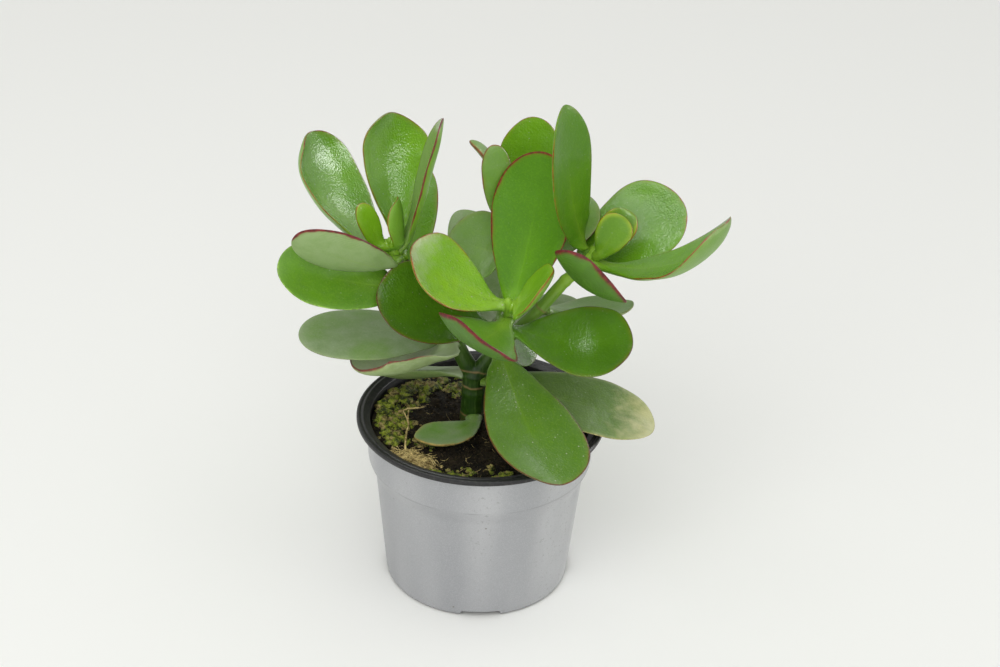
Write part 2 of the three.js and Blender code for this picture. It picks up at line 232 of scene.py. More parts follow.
def hang_window(name, bearing, height, distance, width, tall, brightness):
    lamp = bpy.data.lights.new(name, "AREA")
    lamp.shape = "RECTANGLE"
    lamp.size = width
    lamp.size_y = tall
    lamp.energy = brightness * math.pi * width * tall
    item = set_out(name, lamp)
    bearing, height = math.radians(bearing), math.radians(height)
    away = Vector((math.cos(height) * math.cos(bearing), math.cos(height) * math.sin(bearing),
                   math.sin(height)))
    item.location = LAMPS_FACE + distance * away
    item.rotation_mode = "QUATERNION"
    item.rotation_quaternion = away.to_track_quat("Z", "Y")
    item.visible_camera = False
    item.visible_diffuse = name.endswith("panel")
    item.visible_glossy = name != "front_panel"


place_camera()
for window, size in WINDOWS.items():
    hang_window(window, *size)

world = bpy.data.worlds.new("white_room")
bpy.context.scene.world = world
world.use_nodes = True
world.node_tree.nodes["Background"].inputs["Color"].default_value = (1, 1, 0.98, 1)
world.node_tree.nodes["Background"].inputs["Strength"].default_value = ROOM_BRIGHTNESS
bpy.context.scene.view_settings.view_transform = "Standard"


# ------------------------------------------------------------------ pot
# A thin nursery pot of moulded black plastic, turned from foot to rim in one wall, with four
# notches in its foot ring and six drain holes. Its outside is sprayed satin silver.

POT_STEPS = 160
POT_PROFILE = (      # radius and height in mm, from the middle of the underside up and back down
    (9, 0), (10, 2), (34.4, 2), (35.4, 0), (38.4, 0), (39.5, 1), (44.35, 50.2),
    (44.75, 51.8), (45.4, 53.4), (46.2, 55.1), (46.9, 56.6), (47.35, 57.9), (47.6, 59.6), (47.9, 74.4),
    (47.9, 75.2), (52.3, 75.2), (52.5, 75.6), (52.5, 76.9), (52, 77.4), (51.3, 77.4),
    (50.9, 77.1), (50.4, 77.1), (50, 77.4), (49.4, 77.4), (48.9, 77), (46.8, 76), (46.7, 58.2),
    (43.5, 50.5), (38.1, 2.9),
)
EDGE_ROUNDING = 0.22
MOULD_LINE = 58                      # height of the faint line round the pot under its collar
PAINTED_FROM, PAINTED_TO = 0.6, 74.9                     # heights between which it is sprayed
PAINTED_BEYOND = 39                  # and the radius outside which it is
DRAINS = 6
DRAIN_RADIUS = 4
DRAIN_CIRCLE = 25
NOTCHES = 4
NOTCH_CUTTER = (14, 17, 5.2)         # its sides outwards, along the foot ring and upright
NOTCH_ROUNDING = 1.2
NOTCH_CIRCLE = 38
FIRST_NOTCH = -86                    # bearing in degrees


def only_selected(item):
    start_clean()
    item.select_set(True)
    bpy.context.view_layer.objects.active = item


def apply_modifier(item, kind, **settings):
    modifier = item.modifiers.new(kind.lower(), kind)
    for key, value in settings.items():
        setattr(modifier, key, value)
    only_selected(item)
    bpy.ops.object.modifier_apply(modifier=modifier.name)


def new_piece(name):
    item = bpy.context.object
    item.name = item.data.name = name
    return item


def settle(item):
    """Writes the object's place, turn and size into its mesh."""
    only_selected(item)
    bpy.ops.object.transform_apply(location=True, rotation=True, scale=True)


def turn_pot():
    start_clean()
    radius, height = POT_PROFILE[0]
    bpy.ops.mesh.primitive_circle_add(vertices=POT_STEPS, radius=radius * MM, fill_type="TRIFAN")
    pot = new_piece("turned_pot")
    bpy.ops.object.mode_set(mode="EDIT")
    bpy.ops.mesh.select_mode(type="EDGE")
    bpy.ops.mesh.select_all(action="DESELECT")
    bpy.ops.mesh.select_non_manifold()
    for next_radius, next_height in POT_PROFILE[1:]:
        bpy.ops.mesh.extrude_region_move(
            TRANSFORM_OT_translate={"value": (0, 0, (next_height - height) * MM)})
        size = next_radius / radius
        bpy.ops.transform.resize(value=(size, size, 1), center_override=(0, 0, next_height * MM))
        radius, height = next_radius, next_height
    bpy.ops.mesh.extrude_region_move()
    bpy.ops.mesh.merge(type="CENTER")
    bpy.ops.mesh.select_all(action="SELECT")
    bpy.ops.mesh.normals_make_consistent(inside=False)
    bpy.ops.object.mode_set(mode="OBJECT")
    return pot


def cut_away(item, cutter):
    apply_modifier(item, "BOOLEAN", operation="DIFFERENCE", object=cutter, solver="EXACT")
    bpy.data.objects.remove(cutter)


turned_pot = turn_pot()
apply_modifier(turned_pot, "BEVEL", width=EDGE_ROUNDING * MM, segments=2, limit_method="ANGLE",
               angle_limit=math.radians(28), use_clamp_overlap=True)
for index in range(DRAINS):
    turn = 2 * math.pi * index / DRAINS
    start_clean()
    bpy.ops.mesh.primitive_cylinder_add(
        vertices=32, radius=DRAIN_RADIUS * MM, depth=8 * MM,
        location=(DRAIN_CIRCLE * MM * math.cos(turn), DRAIN_CIRCLE * MM * math.sin(turn), 2 * MM))
    cut_away(turned_pot, bpy.context.object)
for index in range(NOTCHES):
    turn = math.radians(FIRST_NOTCH) + 2 * math.pi * index / NOTCHES
    start_clean()
    bpy.ops.mesh.primitive_cube_add(
        size=1, scale=[side * MM for side in NOTCH_CUTTER], rotation=(0, 0, turn),
        location=(NOTCH_CIRCLE * MM * math.cos(turn), NOTCH_CIRCLE * MM * math.sin(turn), 0))
    cutter = bpy.context.object
    apply_modifier(cutter, "BEVEL", width=NOTCH_ROUNDING * MM, segments=3, affect="EDGES")
    cut_away(turned_pot, cutter)


def silver_paint():
    """Satin aluminium spray over plastic: soft upright bands of painted reflection, fine flake and specks
    of dirt.
    """
    paint = Finish("silver_paint", metallic=0.6, specular_ior_level=0.5)
    painted_reflection_bands = paint.grain(26, detail=1, stretch=(1, 1, 0.05))
    clouds = paint.grain(12, detail=4, stretch=(1, 1, 0.5))
    flake = paint.grain(0.4, detail=2)
    dimples = paint.grain(1.6, detail=3, roughness=0.6)
    # The soft upright bands lighten and darken the paint as a painted reflection of the room, and pits
    # break them where the dimples sink.
    tone = paint.blend(paint.step(painted_reflection_bands, 0.32, 0.68), (0.36, 0.365, 0.385), (0.49, 0.495, 0.51))
    tone = paint.blend(paint.times(paint.step(clouds, 0.35, 0.7), 0.45), tone,
                       (0.42, 0.425, 0.44))
    tone = paint.blend(paint.times(paint.step(flake, 0.4, 0.7), 0.25), tone,
                       (0.66, 0.665, 0.68))
    pits = paint.times(paint.step(dimples, 0.42, 0.30), paint.step(painted_reflection_bands, 0.42, 0.6))
    tone = paint.blend(paint.times(pits, 0.5), tone, (0.26, 0.26, 0.26))
    off_line = paint.number("ABSOLUTE", paint.number("SUBTRACT", paint.height(), MOULD_LINE * MM))
    line = paint.times(paint.step(off_line, 0.5 * MM, 0.2 * MM), paint.step(clouds, 0.36, 0.55))
    tone = paint.blend(paint.times(line, 0.4), tone, (0.25, 0.25, 0.26))
    specks = paint.step(paint.cells(11), 0.055, 0.03)
    tone = paint.blend(paint.times(specks, 0.6), tone, (0.14, 0.12, 0.09))
    paint.emboss(flake, 0.006)
    paint.emboss(clouds, 0.08)
    paint.emboss(dimples, 0.03)
    rough = paint.plus(0.30, paint.times(clouds, 0.16))
    return paint.done(tone, rough)


def black_plastic():
    """Bare moulded plastic: near black, satin, with dust in its fine grain."""
    plastic = Finish("black_plastic", specular_ior_level=0.45)
    dust = plastic.grain(1.2, detail=5, roughness=0.7)
    tone = plastic.blend(plastic.step(dust, 0.45, 0.8), (0.013, 0.013, 0.014), (0.055, 0.052, 0.048))
    plastic.emboss(plastic.grain(0.45, detail=2), 0.02)
    plastic.emboss(dust, 0.02)
    return plastic.done(tone, plastic.plus(0.30, plastic.times(dust, 0.3)))


turned_pot.data.materials.append(silver_paint())
turned_pot.data.materials.append(black_plastic())
for face in turned_pot.data.polygons:
    radius = math.hypot(face.center.x, face.center.y) / MM
    height = face.center.z / MM
    facing_out = face.normal.x * face.center.x + face.normal.y * face.center.y > 0
    painted = facing_out and radius > PAINTED_BEYOND and PAINTED_FROM < height < PAINTED_TO
    face.material_index = 0 if painted else 1
only_selected(turned_pot)
bpy.ops.object.shade_smooth_by_angle(angle=math.radians(32))
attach(turned_pot, "root")
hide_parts("pot")


# ------------------------------------------------------------------ soil
# Dark peat pressed into the pot up to a little under the rim. Its top is uneven and crumbly,
# with loose crumbs and clods lying on it.

SOIL_BOTTOM, SOIL_LEVEL = 3.4, 71
SOIL_RADIUS = 46.1
SOIL_FOOT = 38                       # radius at the bottom
SOIL_REACH = 45.2                    # radius within which things lie on it
SOIL_STEPS, SOIL_RINGS = 200, 84
TRUNK_PLACE, TRUNK_ROOM = (-4, 6), 5.6
CRUMBS = 1500


def soil_height(x, y):
    mounds = 0.8 * math.sin(x * 0.23 + 1) * math.cos(y * 0.19) + 0.5 * math.sin(x * 0.51 - y * 0.37)
    rise = min(max((-x - 8) / 30, 0), 1)
    return SOIL_LEVEL + mounds + 1.6 * rise * rise * (3 - 2 * rise)


def crumbly_height(x, y):
    lumps = noise.fractal(Vector((x / 4, y / 4, 3)), 0.7, 2.1, 5)
    clods = noise.voronoi(Vector((x / 2.1, y / 2.1, 7)))[0][0]
    return soil_height(x, y) + 0.75 * lumps + 0.55 * (0.5 - clods)


def press_soil():
    start_clean()
    bpy.ops.mesh.primitive_cylinder_add(
        vertices=SOIL_STEPS, radius=SOIL_RADIUS * MM, depth=(SOIL_LEVEL - SOIL_BOTTOM) * MM,
        end_fill_type="NOTHING", location=(0, 0, (SOIL_BOTTOM + SOIL_LEVEL) / 2 * MM))
    soil = new_piece("peat")
    settle(soil)
    work = bmesh.new()
    work.from_mesh(soil.data)
    lower = [edge for edge in work.edges if edge.is_boundary and edge.verts[0].co.z < 10 * MM]
    edge_loop = [edge for edge in work.edges if edge.is_boundary and edge.verts[0].co.z > 10 * MM]
    for vertex in {vertex for edge in lower for vertex in edge.verts}:
        vertex.co.xy *= SOIL_FOOT / SOIL_RADIUS
    bmesh.ops.holes_fill(work, edges=lower)
    for ring in range(SOIL_RINGS, 0, -1):
        made = bmesh.ops.extrude_edge_only(work, edges=edge_loop)["geom"]
        for vertex in (part for part in made if isinstance(part, bmesh.types.BMVert)):
            vertex.co.xy *= (ring - 1) / ring
        edge_loop = [part for part in made if isinstance(part, bmesh.types.BMEdge)]
    bmesh.ops.remove_doubles(work, verts=work.verts, dist=1e-6)
    bmesh.ops.recalc_face_normals(work, faces=work.faces)
    for vertex in work.verts:
        if vertex.co.z > 60 * MM:
            vertex.co.z = crumbly_height(vertex.co.x / MM, vertex.co.y / MM) * MM
    work.to_mesh(soil.data)
    work.free()
    soil.data.shade_smooth()
    return soil


def lump_shape(subdivisions, seed, roughness=0.5):
    """One knobbly grain about 1 mm across, as points and faces."""
    start_clean()
    bpy.ops.mesh.primitive_ico_sphere_add(subdivisions=subdivisions, radius=0.5)
    grain = bpy.context.object
    points = []
    for vertex in grain.data.vertices:
        swell = 1 + roughness * noise.noise(vertex.co * 2.6 + Vector((seed * 1.7, 0, 0)))
        points.append(vertex.co * swell)
    faces = [list(face.vertices) for face in grain.data.polygons]
    bpy.data.objects.remove(grain)
    return [np.array(points), faces]


def mesh_piece(name, points, faces):
    """A smooth piece from its corners, in mm, and its faces."""
    mesh = bpy.data.meshes.new(name)
    mesh.from_pydata((np.array(points) * MM).tolist(), [], faces)
    mesh.shade_smooth()
    return set_out(name, mesh)


def strew(name, shapes, places):
    """Copies of the shapes as one mesh; a place is (x, y, z, size, flatness) in mm."""
    points, faces, count = [], [], 0
    for x, y, z, size, flat in places:
        shape, shape_faces = random.choice(shapes)
        turn = Euler([random.uniform(0, 2 * math.pi) for axis in range(3)]).to_matrix()
        turned = shape @ np.array(turn) * size
        turned[:, 2] *= flat
        points.append(turned + (x, y, z))
        faces += [[count + corner for corner in face] for face in shape_faces]
        count += len(shape)
    return mesh_piece(name, np.concatenate(points), faces)


def anywhere_on_soil(reach=SOIL_REACH):
    while True:
        x, y = random.uniform(-reach, reach), random.uniform(-reach, reach)
        if math.hypot(x, y) < reach and math.dist((x, y), TRUNK_PLACE) > TRUNK_ROOM:
            return x, y


def peat_tone():
    """Damp peat: black to dark brown, with rusty and tan bits of fibre."""
    peat = Finish("dark_peat", 0.92, specular_ior_level=0.25)
    wet = peat.grain(7, detail=5, roughness=0.65)
    bits = peat.grain(0.9, detail=4, roughness=0.75)
    tone = peat.blend(peat.step(wet, 0.35, 0.7), (0.006, 0.005, 0.003), (0.030, 0.022, 0.012))
    tone = peat.blend(peat.step(bits, 0.54, 0.68), tone, (0.085, 0.060, 0.030))
    tone = peat.blend(peat.step(peat.cells(1.9), 0.13, 0.06), tone, (0.24, 0.18, 0.095))
    peat.emboss(bits, 0.5)
    return peat.done(tone)


random.seed(4)
peat_finish = peat_tone()
peat = press_soil()
crumbs = []
for index in range(CRUMBS):
    x, y = anywhere_on_soil()
    size = random.uniform(0.5, 1.6) * random.uniform(0.7, 1.5)
    crumbs.append((x, y, crumbly_height(x, y) + 0.15 * size, size, random.uniform(0.5, 0.9)))
peat_crumbs = strew("peat_crumbs", [lump_shape(2, seed) for seed in range(5)], crumbs)
for item in (peat, peat_crumbs):
    item.data.materials.append(peat_finish)
    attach(item, "root")
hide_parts("soil")


# ------------------------------------------------------------------ moss
# Low cushions of moss and liverwort have crept over the left of the soil, bright yellow-green
# where they grow and tan where they have dried.

MOSS_PATCHES = (     # x, y, radius and thickness of each cushion, in mm
    (-36, 13, 9, 1.8), (-40, 2, 7, 1.9), (-30, 24, 8, 1.3), (-35, -5, 8, 2.0),
    (-38, -14, 7, 1.6), (-22, 33, 7, 0.9), (-12, 29, 6, 0.9), (-24, -14, 6, 0.9), (-10, -38, 7, 0.8),
    (24, 35, 6, 0.8), (33, 25, 6, 0.8), (-8, 40, 5, 0.8), (8, -38, 6, 0.6),
)
MOSS_CLODS = 260                     # lumps of 2 to 5 mm
MOSS_LUMPS = 500                     # and of 0.6 to 1.8 mm between them


def moss_thickness(x, y):
    thickest = 0
    for middle_x, middle_y, radius, thickness in MOSS_PATCHES:
        away = math.dist((x, y), (middle_x, middle_y)) / radius
        away += 0.75 * noise.noise(Vector((x / 4.5, y / 4.5, 1)))
        thickest = max(thickest, thickness * (1 - away * away))
    return thickest


def moss_tone():
    """Olive to bright yellow-green, dried to tan in places, with painted shade in its hollows."""
    moss = Finish("moss", 0.8, specular_ior_level=0.35)
    spread = moss.grain(4.5, detail=2)
    lumps = moss.grain(2.2, detail=2)
    fine = moss.grain(0.5, detail=4, roughness=0.7)
    tone = moss.blend(moss.step(lumps, 0.36, 0.60), (0.030, 0.048, 0.005), (0.28, 0.34, 0.026))
    tan = moss.blend(moss.step(lumps, 0.38, 0.62), (0.16, 0.12, 0.035), (0.50, 0.40, 0.15))
    tone = moss.blend(moss.step(spread, 0.49, 0.60), tone, tan)
    tone = moss.blend(moss.times(moss.step(fine, 0.52, 0.70), 0.6), tone, (0.62, 0.62, 0.26))
    # Painted shade: near black where the fine relief sinks.
    tone = moss.blend(moss.step(fine, 0.42, 0.28), tone, (0.020, 0.020, 0.006))
    moss.emboss(fine, 0.6)
    moss.emboss(lumps, 0.8)
    return moss.done(tone)


moss_places = []
while len(moss_places) < MOSS_CLODS + MOSS_LUMPS:
    big = len(moss_places) < MOSS_CLODS
    x, y = anywhere_on_soil(44 if big else 45)
    thickness = moss_thickness(x, y)
    if thickness > 0.12 and random.random() < 0.25 + 0.75 * thickness:
        size = random.uniform(2, 4.2) * random.uniform(0.8, 1.2) if big else random.uniform(0.6, 1.8)
        level = soil_height(x, y) + random.uniform(-0.2, 0.8) * thickness + 0.05 * size
        moss_places.append((x, y, level, size, random.uniform(0.5, 0.85)))
moss_cushions = strew("moss_cushions", [lump_shape(2, 20 + seed, 1.1) for seed in range(9)], moss_places)
moss_cushions.data.materials.append(moss_tone())
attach(moss_cushions, "root")


# ------------------------------------------------------------------ fibres and twig
# A mat of tan coir fibres lies against the front left of the rim, loose hairs are strewn over
# the peat, and a thin forked twig stands at the edge of the moss.

FIBRE_MAT = (-27, -32, 11, 7)        # middle and half sides in mm
MAT_FIBRES = 460
MAT_CRUMBS = 150
MAT_EDGE = 44.5                      # radius at which the rim stops the mat
LOOSE_FIBRES = 70
FIBRE_SIDES = 5


def thread(points, radii):
    """A thin closed tube through the points, as corners and faces."""
    corners, faces = [], []
    for index, point in enumerate(points):
        ahead = points[min(index + 1, len(points) - 1)] - points[max(index - 1, 0)]
        side = ahead.cross(Vector((0.3, 0.2, 1))).normalized()
        over = ahead.cross(side).normalized()
        for corner in range(FIBRE_SIDES):
            turn = 2 * math.pi * corner / FIBRE_SIDES
            corners.append(point + radii[index] * (math.cos(turn) * side + math.sin(turn) * over))
    for index in range(len(points) - 1):
        for corner in range(FIBRE_SIDES):
            here, after = index * FIBRE_SIDES + corner, index * FIBRE_SIDES + (corner + 1) % FIBRE_SIDES
            faces.append([here, after, after + FIBRE_SIDES, here + FIBRE_SIDES])
    last = (len(points) - 1) * FIBRE_SIDES
    faces.append(list(range(FIBRE_SIDES))[::-1])
    faces.append([last + corner for corner in range(FIBRE_SIDES)])
    return corners, faces


def face_outwards(mesh):
    work = bmesh.new()
    work.from_mesh(mesh)
    bmesh.ops.recalc_face_normals(work, faces=work.faces)
    work.to_mesh(mesh)
    work.free()


def bundle(name, threads):
    points, faces = [], []
    for corners, sides in threads:
        faces += [[len(points) + corner for corner in side] for side in sides]
        points += corners
    item = mesh_piece(name, points, faces)
    face_outwards(item.data)
    return item


def lying_fibre(x, y, length, thickness, lift):
    bearing = random.uniform(0, 2 * math.pi)
    curl = random.uniform(-0.5, 0.5)
    points = []
    for index in range(6):
        level = soil_height(x, y) + lift + random.uniform(-0.25, 0.5)
        reach = math.hypot(x, y)
        if reach > SOIL_REACH:
            x, y = x * SOIL_REACH / reach, y * SOIL_REACH / reach
        points.append(Vector((x, y, level)))
        x += length / 5 * math.cos(bearing)
        y += length / 5 * math.sin(bearing)
        bearing += curl + random.uniform(-0.35, 0.35)
    return thread(points, [thickness * size for size in (0.5, 1, 1, 1, 0.8, 0.4)])


def dry_fibre():
    fibre = Finish("dry_fibre", 0.8, specular_ior_level=0.3)
    tone = fibre.blend(fibre.step(fibre.grain(2.2, detail=3), 0.36, 0.64), (0.20, 0.135, 0.045),
                       (0.78, 0.62, 0.27))
    tone = fibre.blend(fibre.step(fibre.grain(0.5, detail=3), 0.45, 0.7), tone, (0.55, 0.44, 0.19))
    fibre.emboss(fibre.grain(0.4, detail=2), 0.05)
    return fibre.done(tone)


threads = []
for index in range(MAT_FIBRES):
    spread = Vector((random.gauss(0, 0.45), random.gauss(0, 0.45)))
    along = Vector((0.86, -0.52))
    middle = Vector(FIBRE_MAT[:2]) + spread.x * FIBRE_MAT[2] * along
    middle += spread.y * FIBRE_MAT[3] * Vector((-along.y, along.x))
    if middle.length < MAT_EDGE:
        threads.append(lying_fibre(*middle, random.uniform(2, 5.5), random.uniform(0.09, 0.24),
                                   0.5 + 1.3 * random.random() * math.exp(-spread.length_squared)))
for index in range(LOOSE_FIBRES):
    threads.append(lying_fibre(*anywhere_on_soil(), random.uniform(2, 7), random.uniform(0.05, 0.11), 0.6))
coir_fibres = bundle("coir_fibres", threads)
mat_places = []
while len(mat_places) < MAT_CRUMBS:
    x = FIBRE_MAT[0] + random.gauss(0, 0.5) * FIBRE_MAT[2]
    y = FIBRE_MAT[1] + random.gauss(0, 0.5) * FIBRE_MAT[3] - 0.5 * (x - FIBRE_MAT[0])
    if math.hypot(x, y) < MAT_EDGE:
        level = soil_height(x, y) + 0.5 + 0.5 * random.random()
        mat_places.append((x, y, level, random.uniform(0.6, 1.9), 0.7))
mat_crumbs = strew("mat_crumbs", [lump_shape(2, 50 + seed, 0.9) for seed in range(4)], mat_places)

TWIG = (             # the twig's stalk, its two prongs and a root that lies beside them
    ((-30.5, -26, 72.6), (-30.8, -20, 74.6), (-30.6, -14, 75.6), (-30, -9, 76)),
    ((-30, -9, 76), (-31, -5, 76.6), (-33, 0.5, 77)),
    ((-30, -9, 76), (-30.6, -5, 77), (-30.4, 0, 78)),
    ((-35, 2, 75.2), (-31, 3.4, 76), (-27, 5, 75.6), (-23.5, 8, 74.8)),
)
TWIG_RADII = (0.55, 0.4, 0.38, 0.6)
twig_threads = []
for limb, size in zip(TWIG, TWIG_RADII):
    ends = [Vector(point) for point in limb]
    points, radii = [], []
    for first, last in zip(ends, ends[1:]):
        for index in range(4):
            knob = Vector([random.uniform(-0.12, 0.12) for axis in range(3)])
            points.append(first.lerp(last, index / 4) + knob)
            radii.append(size * random.uniform(0.8, 1.15) * (1 - 0.1 * len(points) / 4))
    points.append(ends[-1])
    radii.append(0.15)
    twig_threads.append(thread(points, radii))
dry_twig = bundle("dry_twig", twig_threads)
fibre_finish = dry_fibre()
for item in (coir_fibres, mat_crumbs, dry_twig):
    item.data.materials.append(fibre_finish)
    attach(item, "root")


# ------------------------------------------------------------------ stem
# A round fleshy stem, rooted in the peat and forked into four shoots. It swells at each node
# where a pair of leaves stands or stood, and a thin brown scar rings the older nodes.

STEM_GRAIN = 0.42                    # size of the mesh's cells in mm
STEM_SCARS = (       # middle of the ring, the way the stem runs there and the ring's reach, in mm
    ((-4, 6, 74.4), (0, 0, 1), 8), ((-3.8, 6, 88), (0.05, 0, 1), 8), ((-3.6, 6, 95.6), (0.1, 0.05, 1), 7),
    ((-12.3, 5.5, 109), (-0.5, 0, 0.86), 6), ((-30.5, 5, 138.5), (-0.5, 0, 0.86), 5),
    ((5.6, 4, 107), (0.4, -0.3, 0.86), 6), ((8.6, -2.5, 120), (0.15, -0.5, 0.85), 5),
    ((23.5, 8.5, 124.5), (0.65, 0.1, 0.75), 5), ((7.4, 14, 114), (0.15, 0.5, 0.85), 5),
)
SCAR_REACH, SCAR_WIDTH, SCAR_HEIGHT = 2.5, 0.38, 0.14
SHOOT_TIPS = ((-38.8, 5, 152.5), (9.7, -12.2, 137), (44.2, 10, 150), (13.4, 32, 157))
TIP_SWELL = 0.8                      # how much the soft tips of the shoots swell, in mm
TIP_REACH = 7
GREENING, PALING = (96, 128), (126, 140)                 # heights over which its green turns yellower
EARTH_STAIN = (78.5, 73)             # and heights over which earth stains its foot, in mm


def copy_solid(node, name):
    item = set_out(name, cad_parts[node].data.copy())
    item.matrix_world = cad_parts[node].matrix_world
    item.data.materials.clear()
    work = bmesh.new()
    work.from_mesh(item.data)
    bmesh.ops.remove_doubles(work, verts=work.verts, dist=1e-6)
    work.to_mesh(item.data)
    work.free()
    return item


def write_attribute(mesh, name, values):
    layer = mesh.attributes.new(name, "FLOAT", "POINT")
    layer.data.foreach_set("value", np.asarray(values, dtype=np.float32))


def shape_stem():
    stem = copy_solid("stem", "green_stem")
    apply_modifier(stem, "REMESH", mode="VOXEL", voxel_size=STEM_GRAIN * MM, adaptivity=0)
    apply_modifier(stem, "SMOOTH", factor=0.5, iterations=7)
    mesh = stem.data
    ways = [vertex.normal.copy() for vertex in mesh.vertices]
    scars = []
    for vertex, way_out in zip(mesh.vertices, ways):
        point = vertex.co / MM
        swell = 0.16 * noise.noise(Vector((point.x / 3, point.y / 3, point.z / 9)))
        for tip in SHOOT_TIPS:
            near = 1 - (point - Vector(tip)).length / TIP_REACH
            swell += TIP_SWELL * max(near, 0)
        scar = 0
        for middle, way, reach in STEM_SCARS:
            away = point - Vector(middle)
            height = away.dot(Vector(way).normalized())
            if abs(height) < SCAR_REACH and away.length < reach:
                height += 0.5 * noise.noise(point / 2.5)
                scar = max(scar, math.exp(-(height / SCAR_WIDTH) ** 2))
        vertex.co += way_out * (swell + SCAR_HEIGHT * scar) * MM
        scars.append(scar)
    write_attribute(mesh, "scar", scars)
    mesh.shade_smooth()
    return stem


def stem_skin():
    """Smooth green skin, deep below and yellower up the shoots, faintly streaked lengthwise."""
    skin = Finish("stem_skin", 0.42, specular_ior_level=0.45, subsurface_weight=0.08,
                  subsurface_radius=(0.0008, 0.0012, 0.0004))
    level = skin.height()
    blotches = skin.grain(5, detail=4)
    streaks = skin.grain(0.8, detail=3, stretch=(1, 1, 0.12))
    tone = skin.blend(skin.step(blotches, 0.35, 0.65), (0.013, 0.044, 0.003), (0.030, 0.078, 0.005))
    tone = skin.blend(skin.step(level, *(z * MM for z in GREENING)), tone, (0.17, 0.33, 0.028))
    tone = skin.blend(skin.step(level, *(z * MM for z in PALING)), tone, (0.30, 0.52, 0.045))
    tone = skin.blend(skin.times(skin.step(streaks, 0.5, 0.75), 0.35), tone,
                      (0.13, 0.19, 0.05))
    earth = skin.plus(level, skin.times(blotches, 6 * MM))
    earth = skin.step(earth, *(z * MM for z in EARTH_STAIN))
    tone = skin.blend(skin.times(earth, 0.7), tone, (0.10, 0.070, 0.03))
    scar = skin.read("scar")
    tone = skin.blend(skin.times(scar, 0.85), tone, (0.27, 0.18, 0.075))
    skin.emboss(streaks, 0.06)
    skin.emboss(skin.grain(0.5, detail=2), 0.03)
    return skin.done(tone, skin.plus(0.38, skin.times(scar, 0.35)))


green_stem = shape_stem()
green_stem.data.materials.append(stem_skin())
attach(green_stem, "root")
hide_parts("stem")


# ------------------------------------------------------------------ leaves
# Thick water-filled blades with a waxy skin, glossy above and paler and matt beneath, edged
# with a thin red line. Each grows on a short neck straight out of a node of the stem.

SOLID_RINGS, SOLID_SIDES = 9, 12     # how the leaf's plain solid is made up
STATIONS, ROUND = 64, 44             # and the finer blade made from it
NECK_REACH, NECK_SPREAD = 1.5, 1.12  # how far the neck runs on into the stem, in mm, and widens
SOFTENING, FIRST_SOFTENED = 6, 8     # stations over which its outline is evened out, and from where
BLADE_SWELL, FINE_SWELL = 0.42, 0.15                     # how uneven its sides are, in mm
EDGE_WAVE, GROOVE = 0.28, 0.30       # how far its margins wander and its midrib sinks, in mm


def rings_of(node):
    """The flat rings of points of the leaf's solid, neck first, and its tip, in mm."""
    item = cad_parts[node]
    work = bmesh.new()
    work.from_mesh(item.data)
    work.transform(item.matrix_world)
    bmesh.ops.remove_doubles(work, verts=work.verts, dist=1e-6)
    flattest = None
    for start in work.verts:
        if len(start.link_edges) != SOLID_SIDES:
            continue
        found, layer, rings = {start}, [start], []
        while layer:
            after = []
            for other in (edge.other_vert(point) for point in layer for edge in point.link_edges):
                if other not in found:
                    found.add(other)
                    after.append(other)
            layer = after
            if layer:
                rings.append([np.array(point.co) / MM for point in layer])
        if [len(ring) for ring in rings] == [SOLID_SIDES] * SOLID_RINGS:
            points = np.array(rings[::-1])
            warp = np.linalg.svd(points - points.mean(axis=1)[:, None], compute_uv=False)[:, 2].sum()
            if flattest is None or warp < flattest[0]:
                flattest = warp, points, np.array(start.co) / MM
    work.free()
    return flattest[1:]


def sorted_rings(node):
    """The same rings, each sorted round: one margin, the upper side, the other margin, below."""
    rings, tip = rings_of(node)
    middles = np.vstack([rings.mean(axis=1), tip])
    result = np.zeros_like(rings)
    ways = {}
    for index, near in ((5, None), (6, 5), (7, 6), (8, 7), (4, 5), (3, 4), (2, 3), (1, 2), (0, 1)):
        ring = rings[index]
        apart = np.linalg.norm(ring[:, None] - ring[None], axis=2)
        one, two = np.unravel_index(apart.argmax(), apart.shape)
        half = apart[one, two] / 2
        across, middle = (ring[one] - ring[two]) / (2 * half), (ring[one] + ring[two]) / 2
        forward = np.linalg.svd(ring - middle)[2][2]
        if forward @ (middles[index + 1] - middles[max(index - 1, 0)]) < 0:
            forward = -forward
        if near is not None and across @ ways[near] < 0:
            across = -across
        up = np.cross(across, forward)
        share = (ring - middle) @ across / half
        top, bottom = np.argsort(np.abs(share))[:2]
        centre = (ring[top] + ring[bottom]) / 2
        if near is None and (middle - centre) @ up < 0:
            across, up, share = -across, -up, -share
        ways[index] = across
        thick = abs((ring[top] - ring[bottom]) @ up) / 2
        height = ((ring - centre) @ up - (middle - centre) @ up * share ** 2) / thick
        order = np.round(np.arctan2(height, share) / (2 * math.pi / SOLID_SIDES)).astype(int) % SOLID_SIDES
        if len(set(order)) != SOLID_SIDES:
            raise ValueError(f"ring {index} of {node} is out of order")
        result[index, order] = ring
    return result, tip


def curve_through(knots, values, places):
    """Reads a smooth curve through the values at the knots at other places."""
    slopes = np.gradient(values, knots, axis=0)
    span = np.clip(np.searchsorted(knots, places, side="right") - 1, 0, len(knots) - 2)
    width = (knots[span + 1] - knots[span])[:, None, None]
    share = (places - knots[span])[:, None, None] / width
    rest = 1 - share
    return ((1 + 2 * share) * rest ** 2 * values[span] + share * rest ** 2 * width * slopes[span]
            + (3 - 2 * share) * share ** 2 * values[span + 1]
            - rest * share ** 2 * width * slopes[span + 1])


def rounder(rings, count):
    """Rings of count points through rings of twelve."""
    place = np.arange(count) / count * SOLID_SIDES
    low = place.astype(int)
    share = (place - low)[None, :, None]
    before, here, after, beyond = (rings[:, (low + shift) % SOLID_SIDES] for shift in (-1, 0, 1, 2))
    return here + 0.5 * share * (after - before + share * (
        2 * before - 5 * here + 4 * after - beyond + share * (3 * (here - after) + beyond - before)))


